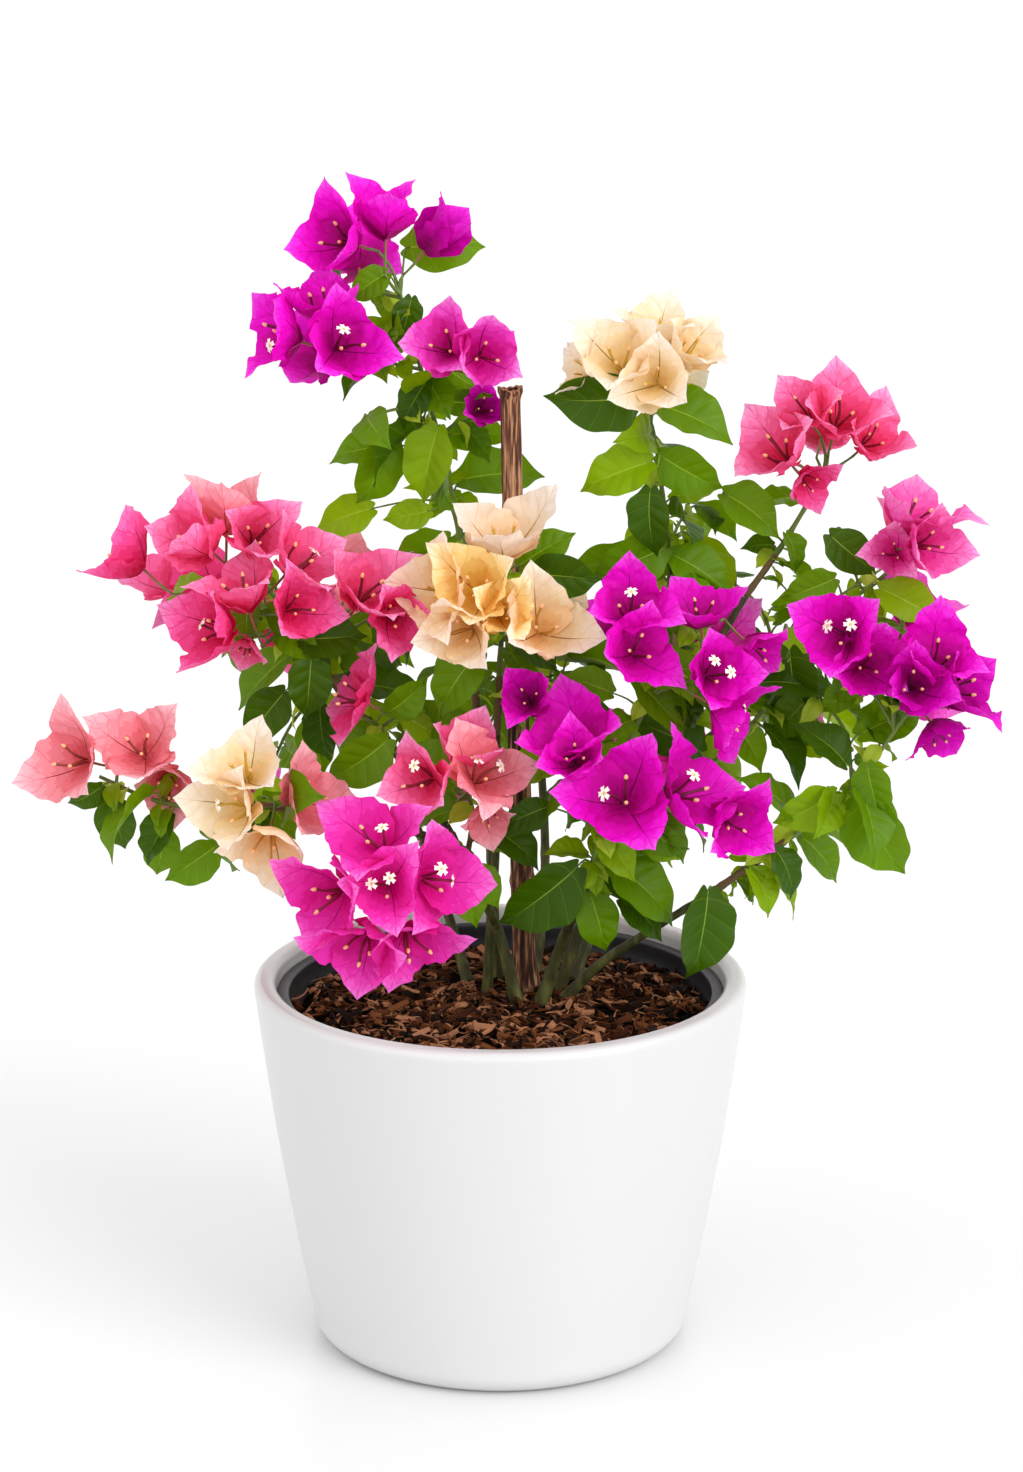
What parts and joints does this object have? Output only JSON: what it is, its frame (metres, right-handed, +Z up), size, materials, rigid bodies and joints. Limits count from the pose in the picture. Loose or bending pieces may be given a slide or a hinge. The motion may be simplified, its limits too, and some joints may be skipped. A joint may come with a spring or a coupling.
{
  "type": "bougainvillea bush in a pot",
  "caption": "Flowering bougainvillea shrub with a cut-back woody stem, open arching boughs and papery bracts, in a round tapered pot with a mulched inner liner.",
  "frame": {"origin": "middle of the pot's flat underside", "axes": "+Z up, -Y towards the side that the picture shows, +X to the right in the picture"},
  "size_m": [0.5785, 0.3534, 0.713],
  "materials": {
    "pot_glaze": "smooth white gloss glaze",
    "liner_plastic": "satin dark grey moulded plastic",
    "mulch": "rough brown bark chips and fibre",
    "bark_old": "ridged dark brown bark",
    "bark_young": "smooth olive green to brown bark with lenticels",
    "leaf_green": "satin green leaf with paler veins",
    "bract_magenta": "papery translucent magenta bract",
    "bract_coral": "papery translucent coral pink bract",
    "bract_cream": "papery translucent cream bract"
  },
  "bodies": {
    "root": {"pot": "pot_glaze", "liner": "liner_plastic", "mulch": "mulch", "trunk_cut_back": "bark_old", "bough_left": "bark_young", "bough_centre": "bark_young", "bough_front_right": "bark_young", "bough_low_right": "bark_young", "bough_upper_left": "bark_young", "bough_upper_right": "bark_young", "bough_back_left": "bark_young", "bough_back": "bark_young", "bough_back_right": "bark_young", "bough_front": "bark_young", "bough_far_left": "bark_young", "bough_right": "bark_young", "bough_far_right": "bark_young", "spray_lower_front": "bract_magenta", "spray_front_centre": "bract_coral", "spray_far_left": "bract_cream", "spray_left": "bract_coral", "spray_inner_left": "bract_coral", "spray_centre": "bract_cream", "spray_centre_right": "bract_magenta", "spray_low_centre": "bract_magenta", "spray_low_right": "leaf_green", "spray_upper_right": "bract_cream", "spray_right": "bract_coral", "spray_far_right": "bract_magenta", "spray_inner_right": "leaf_green", "spray_upper_left": "bract_magenta", "spray_back_left": "bract_coral", "spray_back": "bract_magenta", "spray_back_right": "leaf_green"}
  },
  "joints": []
}
